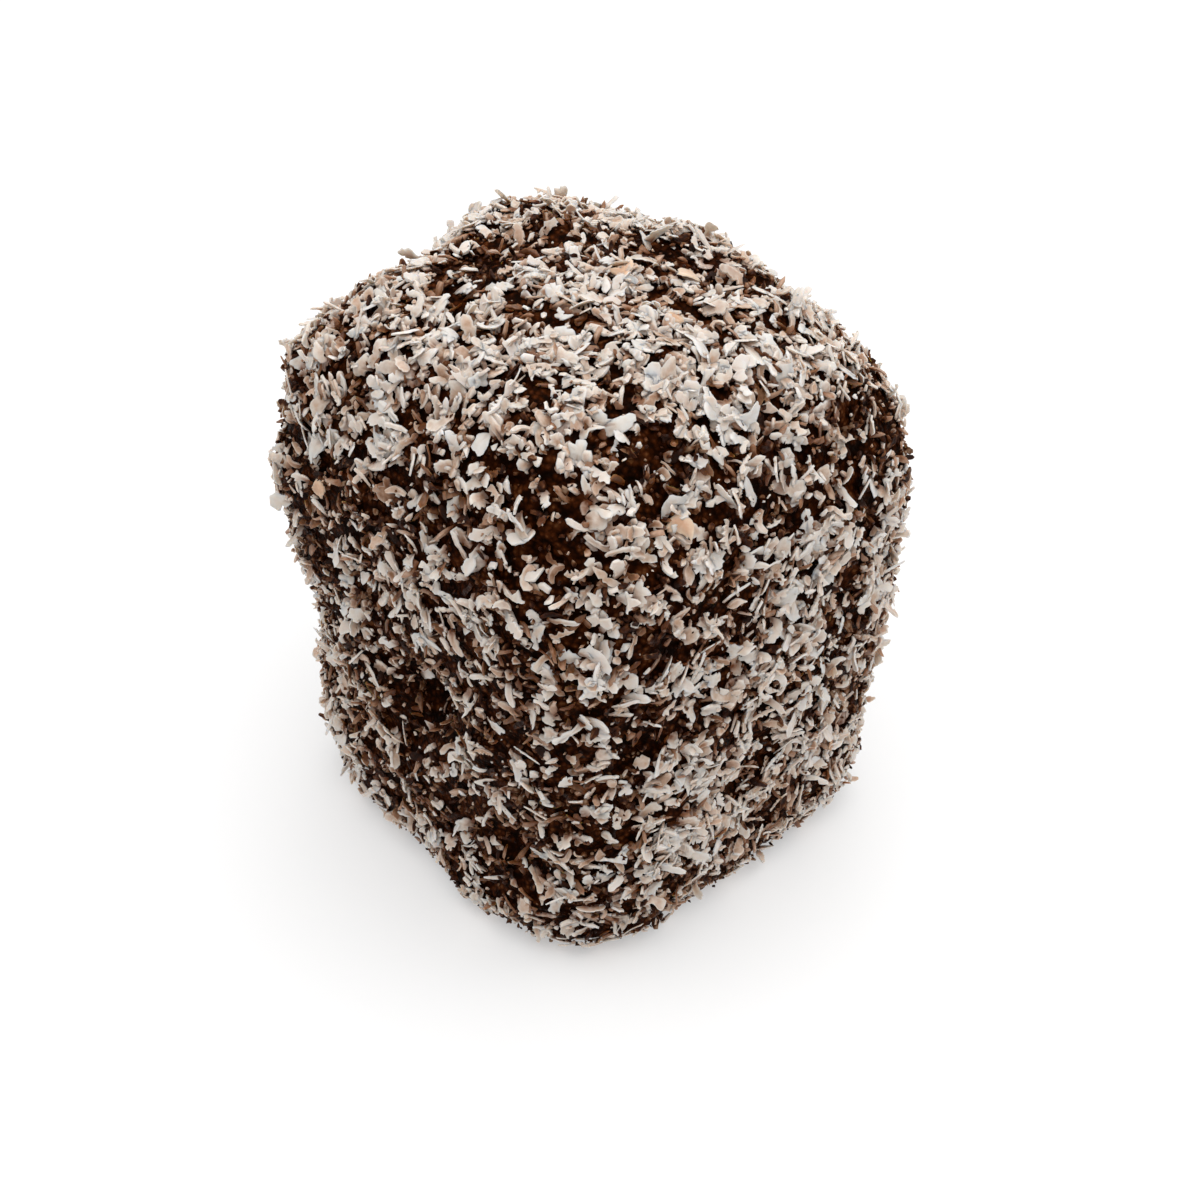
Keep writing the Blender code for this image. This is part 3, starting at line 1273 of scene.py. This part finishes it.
@dataclass(frozen=True, kw_only=True)
class Lay:
    """How pieces of one kind lie on the icing.

    Attributes:
        follows_cover: how strongly they gather where the cover is thick, below zero to
            gather in the bare places.
        level: lowest and highest middle above the icing in millimetres.
        tilt: how steeply their length usually leans, in degrees.
        roll: how far they usually turn round their length, in degrees.
        standing: the share that stands up.
        stands: how steeply it does, in degrees.
        steepest: the furthest that any piece leans and rolls, in radians.
        pressed: how much flatter they lie under the cake, whose weight presses on them.
        foot_lean: the share of their lean that is left them just above the floor.
        turned_over: the share that lies upside down.
        clumped: the share that clings to the piece laid before it.
        clump_mm: how far off such a piece lies.
        alike: how far the shades of clinging pieces agree, from 0 to 1.
        tone: lowest and highest shade, 0 for soaked and 1 for clean white.
        tone_bias: above 1 for mostly dark and below 1 for mostly pale.
        soak_mm: how high the stain climbs from the icing.
        soak_and_shade_height_mm: how high above the icing a piece is darkened, by syrup it has soaked
            up and by painted shade deep in the pile.
        sink_mm: how deep the lowest corner may sit in the icing.
        clearing: how much darker the middle of the clearest pieces is.
        soak_and_shade: how much darker a piece is where it lies on the icing, partly from soaked-up
            syrup and partly as painted shade deep in the pile.
    """

    follows_cover: float = 1.0
    level: Span = (0.0, 0.6)
    tilt: float = 18.0
    roll: float = 20.0
    standing: float = 0.04
    stands: Span = (30.0, 60.0)
    steepest: Span = (1.35, 1.2)
    pressed: float = 0.9
    foot_lean: float = 0.35
    turned_over: float = 0.25
    clumped: float = 0.22
    clump_mm: float = 0.45
    alike: float = 0.6
    tone: Span = (0.5, 1.0)
    tone_bias: float = 0.7
    soak_mm: float = 0.25
    soak_and_shade_height_mm: float = 1.0
    sink_mm: float = 0.3
    clearing: float = 0.13
    soak_and_shade: float = 0.33


@dataclass
class CoconutLayer:
    """All loose coconut of one cut, laid on the icing as one piece.

    Attributes:
        cut: how its pieces are cut.
        lay: how they lie.
        finish: what they are made of.
        pinned: where its first pieces lie, in shares as those of a patch.
    """

    cut: Cut
    lay: Lay
    finish: Finish
    pinned: tuple[Triple, ...] = ()

    def build(self, form: CakeForm, number: int) -> Object:
        """Makes the pieces of this cut and lays them.

        Args:
            form: the body that they lie on.
            number: the number of this layer, which picks its chances.

        Returns:
            The piece that holds them all.
        """
        rng = np.random.default_rng(SEED + number)
        shapes = self.cut.shapes(rng)
        weights = gathered(form.face_cover, self.lay.follows_cover)
        places, normals, cover = form.scatter(self.cut.count, weights, rng)
        leader = self.leaders(rng)
        places, normals, cover = places[leader], normals[leader], cover[leader]
        beside = self.lay.clump_mm * rng.normal(0, 1, places.shape)
        beside -= np.sum(beside * normals, axis=1, keepdims=True) * normals
        places = places + beside * (leader != np.arange(len(leader)))[:, None]
        for index, share in enumerate(self.pinned):
            places[index], normals[index] = form.nearest(np.array(share) * form.half)
        laid, rise = self.laid(form, shapes, places, normals, cover, rng)
        mesh = joined(self.cut.name, laid, shapes.faces, shapes.flat)
        mesh.set_sharp_from_angle(angle=math.radians(CUT_EDGE_DEGREES))
        grain = [shapes.grain[:, f].reshape(-1, 2) for f in shapes.faces]
        corner_map(mesh, GRAIN_MAP, np.concatenate(grain))
        self.shade(shapes, mesh, rise, cover, leader, rng)
        return piece_of(mesh, self.finish)

    def leaders(self, rng: Chance) -> Array:
        """Picks which pieces cling to others.

        Args:
            rng: the source of chance.

        Returns:
            (N,) for each piece the one that it clings to, or itself.
        """
        own = np.arange(self.cut.count)
        alone = (rng.random(self.cut.count) >= self.lay.clumped) | (own <= len(self.pinned))
        return np.maximum.accumulate(np.where(alone, own, 0))

    def laid(
        self, form: CakeForm, shapes: Shapes, places: Array, normals: Array, cover: Array, rng: Chance
    ) -> tuple[Array, Array]:
        """Turns every piece into its place.

        Args:
            form: the body.
            shapes: the pieces in their own frames.
            places: (N, 3) where each one sits.
            normals: (N, 3) the way out of the icing there.
            cover: (N,) how thickly the coconut lies there.
            rng: the source of chance.

        Returns:
            (N, V, 3) corners in place, and (N, V) how far each is above the icing.
        """
        lay, count = self.lay, len(places)
        drawn = rng.normal(0, 1, (count, 3))
        first = unit(drawn - np.sum(drawn * normals, axis=1, keepdims=True) * normals)
        second = np.cross(normals, first)
        pitch = np.radians(lay.tilt) * rng.normal(0, 1, count)
        upright = rng.random(count) < lay.standing
        pitch = np.where(upright, np.radians(rng.uniform(*lay.stands, count)), pitch)
        roll = np.radians(lay.roll) * rng.normal(0, 1, count)
        pressed = 1 - lay.pressed * smoothstep(0.55, 0.95, -normals[:, 2])
        near_floor = lay.foot_lean + (1 - lay.foot_lean) * smoothstep(1.0, 3.5, places[:, 2])
        leaning, rolling = lay.steepest
        pitch = np.clip(pitch, -leaning, leaning) * pressed * near_floor
        roll = np.clip(roll, -rolling, rolling) * pressed
        roll = np.where(rng.random(count) < lay.turned_over, roll + np.pi, roll)
        cp, sp = np.cos(pitch)[:, None], np.sin(pitch)[:, None]
        cr, sr = np.cos(roll)[:, None], np.sin(roll)[:, None]
        x_axis = cp * first + sp * normals
        z_base = cp * normals - sp * first
        turn = np.stack([x_axis, cr * second + sr * z_base, cr * z_base - sr * second], axis=1)
        turned = np.einsum("nvk,nkd->nvd", shapes.points, turn)
        lowest = np.einsum("nvd,nd->nv", turned, normals).min(axis=1)
        low, high = lay.level
        level = low + (high - low) * rng.random(count) ** 1.3 * np.clip(cover + 0.35, 0.5, 1.3)
        sink = lay.sink_mm * rng.uniform(0.2, 1.0, count)
        level = np.maximum(level * pressed, -lowest - sink)
        laid = turned + (places + level[:, None] * normals)[:, None, :]
        laid = self.kept_inside(form, laid)
        rise = np.einsum("nvd,nd->nv", laid - places[:, None, :], normals)
        return laid, rise

    def kept_inside(self, form: CakeForm, laid: Array) -> Array:
        """Moves pieces that reach too far out, or below the floor, back by what it takes.

        Args:
            form: the body.
            laid: (N, V, 3) corners in place.

        Returns:
            (N, V, 3) corners that all keep within the room for coconut.
        """
        room = np.array([OUTSIDE_MM, OUTSIDE_MM, 0.0])
        under = np.maximum(form.low - room - laid.min(axis=1), 0.0)
        over = np.maximum(laid.max(axis=1) - (form.high + OUTSIDE_MM), 0.0)
        return laid + (under - over)[:, None, :]

    def shade(
        self, shapes: Shapes, mesh: Mesh, rise: Array, cover: Array, leader: Array, rng: Chance
    ) -> None:
        """Gives every piece its tone, its painted shade and its stain.

        Args:
            shapes: the pieces in their own frames.
            mesh: the joined mesh.
            rise: (N, V) how far each corner is above the icing.
            cover: (N,) how thickly the coconut lies there.
            leader: (N,) the piece that each one clings to.
            rng: the source of chance.
        """
        lay, count = self.lay, len(rise)
        drawn = rng.random(count)
        drawn = lay.alike * drawn[leader] + (1 - lay.alike) * drawn
        tone = between(lay.tone, drawn**lay.tone_bias)
        # The middle of a thin piece is half clear, so the icing darkens it from below.
        clear = lay.clearing * rng.random(count) ** 1.5
        tone = tone[:, None] - clear[:, None] * shapes.middle
        # Painted shade: pieces where hardly any coconut lies, in the bare hollows, are darker.
        tone -= BARE_SHADE * (1 - smoothstep(0.04, 0.2, cover))[:, None]
        # What lies lowest is darker, partly from the syrup it has soaked up and partly as painted
        # shade deep in the pile.
        low_soak_and_shade = 1 - smoothstep(-0.1, lay.soak_and_shade_height_mm, rise)
        point_values(mesh, TONE, tone - lay.soak_and_shade * low_soak_and_shade)
        # The stain climbs from the icing, less far up where thick coconut keeps it off.
        deep = 1 - smoothstep(0.0, 1.0, (rise - 0.05) / lay.soak_mm)
        dry = np.clip(cover, 0, 1)[:, None]
        point_values(mesh, SOAK, np.clip(deep * (1.15 - 0.35 * dry), 0, 1))


# A ball of 20 triangles, with its corners in three crossed rectangles, and one of 8.
GOLDEN = (1 + math.sqrt(5)) / 2
RECTANGLE = [(-1, GOLDEN, 0), (1, GOLDEN, 0), (-1, -GOLDEN, 0), (1, -GOLDEN, 0)]
BALL = (
    unit(np.concatenate([np.roll(RECTANGLE, turns, axis=1) for turns in range(3)])),
    np.array(
        [(0, 11, 5), (0, 5, 1), (0, 1, 7), (0, 7, 10), (0, 10, 11)]
        + [(1, 5, 9), (5, 11, 4), (11, 10, 2), (10, 7, 6), (7, 1, 8)]
        + [(3, 9, 4), (3, 4, 2), (3, 2, 6), (3, 6, 8), (3, 8, 9)]
        + [(4, 9, 5), (2, 4, 11), (6, 2, 10), (8, 6, 7), (9, 8, 1)]
    ),
)
DIAMOND = (
    np.array([(1, 0, 0), (-1, 0, 0), (0, 1, 0), (0, -1, 0), (0, 0, 1), (0, 0, -1)], float),
    np.array(
        [(0, 2, 4), (2, 1, 4), (1, 3, 4), (3, 0, 4)]
        + [(2, 0, 5), (1, 2, 5), (3, 1, 5), (0, 3, 5)]
    ),
)


@dataclass
class CrumbLayer:
    """Small crumbs of icing, cake and coconut that cling between the larger pieces.

    Attributes:
        name: the name of the piece that holds them all.
        count: how many there are.
        radius: smallest and largest in millimetres.
        finish: what they are made of.
        follows_cover: as in the lay of the coconut.
        level: lowest and highest middle above the icing in millimetres.
        tone: lowest and highest shade.
        round: whether they are round, or tiny and sharp-cornered.
        stretch: how much shorter or longer they may be each way.
        uneven: how far their corners stand in or out.
        soak: how stained they are.
    """

    name: str
    count: int
    radius: Span
    finish: Finish
    follows_cover: float
    level: Span
    tone: Span = (-0.1, 0.25)
    round: bool = False
    stretch: Span = (0.45, 1.6)
    uneven: float = 0.38
    soak: float = 0.15

    def build(self, form: CakeForm, number: int) -> Object:
        """Makes the crumbs and sets them on the icing.

        Args:
            form: the body that they cling to.
            number: the number of this layer, which picks its chances.

        Returns:
            The piece that holds them all.
        """
        rng = np.random.default_rng(SEED + number)
        corners, faces = BALL if self.round else DIAMOND
        weights = gathered(form.face_cover, self.follows_cover)
        places, normals, cover = form.scatter(self.count, weights, rng)
        size = between(self.radius, rng.random(self.count) ** 2.0)
        stretch = rng.uniform(*self.stretch, (self.count, 1, 3))
        lumps = varied(self.uneven, (self.count, len(corners), 1), rng)
        shapes = corners[None] * stretch * lumps * size[:, None, None]
        level = rng.uniform(*self.level, self.count)
        middles = places + level[:, None] * normals
        points = middles[:, None, :] + shapes
        lift = np.maximum(form.low[2] - points[..., 2].min(axis=1), 0.0)
        points[..., 2] += lift[:, None]
        mesh = joined(self.name, points, [faces], [self.cells(len(faces))])
        corner_map(mesh, GRAIN_MAP, np.zeros((len(mesh.loops), 2)))
        tone = rng.uniform(*self.tone, self.count)
        # Painted shade: crumbs are darker where hardly any coconut lies, in the bare hollows.
        tone -= BARE_SHADE * (1 - smoothstep(0.04, 0.3, cover))
        point_values(mesh, TONE, np.repeat(tone, len(corners)))
        point_values(mesh, SOAK, np.full(self.count * len(corners), self.soak))
        return piece_of(mesh, self.finish)

    def cells(self, faces: int) -> Array:
        """Lays one crumb out flat, with each face in a cell of its own.

        Args:
            faces: how many faces it has.

        Returns:
            (F, 3, 2) places from 0 to 1.
        """
        small = math.ceil(math.sqrt(faces))
        triangle = np.array([[0.1, 0.1], [0.9, 0.1], [0.5, 0.9]])
        index = np.arange(faces)
        cells = np.stack([index % small, index // small], axis=-1)[:, None, :]
        return (triangle[None] + cells) / small * 0.94 + 0.03


# ---------------------------------------------------------------- the studio


@dataclass
class Studio:
    """A white board, an even sky of soft light, one large lamp above, and the camera.

    Attributes:
        turn: the way from the cake to the camera, in degrees from -Y towards +X.
        rise: how far the camera stands above the level, in degrees.
        away_mm: how far it stands from what it looks at.
        clip_m: the nearest and the furthest that it sees.
    """

    board_m: float = 6.0
    sky: float = 0.29
    lamp_m: float = 1.6
    lamp_height_m: float = 1.1
    lamp_right_m: float = 0.12
    lamp_back_m: float = 0.08
    lamp_watts: float = 20.4
    turn: float = 47.2
    rise: float = 38.4
    away_mm: float = 155.0
    lens: float = 49.4
    aim_mm: Triple = (3.5, -1.5, 24.5)
    clip_m: Span = (0.01, 20.0)

    def build(self) -> None:
        """Sets up the floor, the light and the camera."""
        self.floor()
        self.light()
        self.camera()

    def floor(self) -> None:
        """Lays the board that the cake stands on."""
        half = self.board_m / 2
        corners = [(-half, -half, 0), (half, -half, 0), (half, half, 0), (-half, half, 0)]
        mesh = bpy.data.meshes.new("board")
        mesh.from_pydata(corners, [], [(0, 1, 2, 3)])
        board = piece_of(mesh, MattBoard())

    def light(self) -> None:
        """Sets the sky and hangs the lamp."""
        world = bpy.data.worlds.new("sky")
        bpy.context.scene.world = world
        world.use_nodes = True
        world.node_tree.nodes.clear()
        glow = add_node(world.node_tree, "Background", {"Color": WHITE, "Strength": self.sky})
        add_node(world.node_tree, "OutputWorld", {"Surface": glow})
        data = bpy.data.lights.new("overhead", "AREA")
        data.shape = "SQUARE"
        data.size = self.lamp_m
        data.energy = self.lamp_watts
        lamp = placed("overhead", data)
        lamp.location = (self.lamp_right_m, self.lamp_back_m, self.lamp_height_m)
        bpy.context.scene.view_settings.view_transform = "Standard"

    def camera(self) -> None:
        """Sets the camera on the cake's near corner, looking down on it."""
        data = bpy.data.cameras.new("camera")
        data.lens = self.lens
        data.clip_start, data.clip_end = self.clip_m
        camera = placed("camera", data)
        turn, rise = math.radians(self.turn), math.radians(self.rise)
        level = math.cos(rise)
        back = Vector((math.sin(turn) * level, -math.cos(turn) * level, math.sin(rise)))
        camera.location = (Vector(self.aim_mm) + back * self.away_mm) * MM
        camera.rotation_mode = "QUATERNION"
        camera.rotation_quaternion = (-back).to_track_quat("-Z", "Y")
        bpy.context.scene.camera = camera


# ---------------------------------------------------------------- the cake


def coconut_layers() -> list[CoconutLayer]:
    """The kinds of coconut on the cake, from the largest to the smallest.

    Returns:
        One layer for each kind.
    """
    flesh = CoconutFlesh("coconut_flesh_shredded_dried")
    soaked = CoconutFlesh(
        "coconut_flesh_soaked", rim="#7d4c26", rim_share=0.5, roughness=0.36, shine=0.4
    )
    toasted = CoconutFlesh("coconut_flesh_toasted", stops=TOASTED_TANS, rim="#e6d0ba")
    iced = ChocolateIcing("chocolate_icing_on_coconut", stops=CRUMB_BROWNS, shine=0.16, rim_syrup_and_highlight=0.3)
    kinds = [
        (
            FlakeCut(
                name="coconut_flakes", count=1900, sides=25, length=(1.2, 3.1),
                half_width=(0.28, 0.74), thickness=(0.11, 0.21), ragged=0.02, lobes=0.13,
                bend=6, teeth=0.075, notch=0.36,
            ),
            Lay(follows_cover=1.1, tilt=21, roll=21, tone=(0.56, 1.0)),
            flesh,
        ),
        (
            ShredCut(
                name="coconut_chips", outline=Outline.TORN, count=1550, rings=13,
                length=(1.2, 3.1), half_width=(0.28, 0.58), thickness=(0.12, 0.22),
                ragged=0.2, lobes=0.36, curve=24, bend=10, twist=10, hooked=0.16,
            ),
            Lay(follows_cover=1.1, tilt=20, roll=21),
            flesh,
        ),
        (
            ShredCut(
                name="coconut_shreds", outline=Outline.STRIP, count=800, rings=7,
                length=(0.9, 2.5), half_width=(0.19, 0.38), thickness=(0.18, 0.32),
                ragged=0.18, lobes=0.25, curve=18, bend=10, twist=12, hooked=0.2,
            ),
            Lay(tilt=20, roll=22),
            flesh,
        ),
        (
            ShredCut(
                name="coconut_slivers", outline=Outline.LEAF, count=500, rings=7,
                length=(0.9, 2.2), half_width=(0.26, 0.55), thickness=(0.17, 0.3),
                ragged=0.16, lobes=0.25, curve=22, bend=8, twist=10,
            ),
            Lay(tilt=22, roll=24, tone=(0.4, 1.0)),
            flesh,
        ),
        (
            ShredCut(
                name="coconut_combs", outline=Outline.TOOTHED, count=700, rings=13,
                length=(1.3, 2.8), half_width=(0.28, 0.55), thickness=(0.12, 0.22),
                ragged=0.2, lobes=0.25, curve=26, bend=7, twist=8,
            ),
            Lay(follows_cover=1.1, level=(0.2, 0.8), tilt=20, roll=22),
            flesh,
        ),
        (
            FlakeCut(
                name="coconut_bits", count=4900, sides=8, length=(0.4, 1.3),
                half_width=(0.18, 0.48), thickness=(0.14, 0.28), ragged=0.06, lobes=0.08,
                bend=5, teeth=0.05,
            ),
            Lay(follows_cover=0.6, tilt=26, roll=28, tone=(0.35, 1.0), tone_bias=0.8),
            flesh,
        ),
        (
            ShredCut(
                name="coconut_threads", outline=Outline.THREAD, count=70, rings=7,
                length=(1.0, 2.2), half_width=(0.07, 0.12), thickness=(0.1, 0.16),
                ragged=0.15, lobes=0.1, curve=60, bend=30, twist=20,
            ),
            Lay(follows_cover=0.8, standing=0.0),
            flesh,
        ),
        (
            FlakeCut(
                name="soaked_flakes", count=3200, sides=9, length=(0.8, 2.3),
                half_width=(0.15, 0.38), thickness=(0.16, 0.28), ragged=0.05, lobes=0.1,
                bend=6,
            ),
            Lay(
                follows_cover=-0.2, level=(-0.05, 0.4), tilt=22, roll=22,
                tone=(0.12, 0.65), tone_bias=1.0, soak_mm=0.42,
            ),
            soaked,
        ),
        (
            ShredCut(
                name="iced_shreds", outline=Outline.STRIP, count=2300, rings=5,
                length=(0.6, 1.8), half_width=(0.18, 0.4), thickness=(0.16, 0.3),
                ragged=0.25, lobes=0.35, curve=20, bend=20, twist=15, bevel=0.12,
            ),
            Lay(
                follows_cover=-0.5, level=(-0.1, 0.4), tilt=28, roll=28, standing=0.15,
                tone=(-0.15, 0.3), tone_bias=1.2, soak_mm=0.6,
            ),
            iced,
        ),
        (
            FlakeCut(
                name="toasted_chips", count=9, sides=30, length=(2.0, 2.9),
                half_width=(0.55, 0.85), thickness=(0.2, 0.3), ragged=0.04, lobes=0.15,
                bend=6, teeth=0.06, notched=0.03,
            ),
            Lay(level=(0.6, 0.8), tilt=10, roll=10, standing=0.0, tone=(0.6, 1.0)),
            toasted, ((0.31, 0.20, 1.0), (0.45, -0.02, 1.0)),
        ),
    ]
    return [CoconutLayer(*kind) for kind in kinds]


def crumb_layers() -> list[CrumbLayer]:
    """The crumbs between the coconut.

    Returns:
        One layer for each kind.
    """
    crumbly = ChocolateIcing("chocolate_icing_crumbled", stops=CRUMB_BROWNS, shine=0.16)
    grains = CoconutFlesh("coconut_flesh_ground")
    return [
        CrumbLayer("icing_crumbs", 1900, (0.16, 0.36), crumbly, -0.5, (-0.1, 0.35), round=True),
        CrumbLayer("icing_grit", 6000, (0.12, 0.3), crumbly, -0.4, (-0.05, 0.6)),
        CrumbLayer("coconut_grains", 1600, (0.11, 0.22), grains, 0.3, (0.1, 0.7), (0.3, 0.9)),
    ]


def triangles(piece: Object) -> int:
    """How many triangles a piece has."""
    piece.data.calc_loop_triangles()
    return len(piece.data.loop_triangles)


def main() -> None:
    """Builds the cake and its studio, and reports each piece."""
    logging.basicConfig(level=logging.INFO, format="%(name)s: %(message)s")
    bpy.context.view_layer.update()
    form = CakeForm()
    form.build()
    coat = IcingCoat().build(form)
    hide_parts(CAD_NODE)
    pieces = [(coat, Slot.ICING)]
    for number, layer in enumerate([*coconut_layers(), *crumb_layers()], 1):
        pieces.append((layer.build(form, number), layer.finish.slot))
    total = 0
    for piece, slot in pieces:
        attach(piece, BODY)
        count = triangles(piece)
        total += count
        log.info("%s: %d triangles", piece.name, count)
    log.info("all pieces: %d triangles", total)
    Studio().build()


if __name__ == "__main__":
    main()
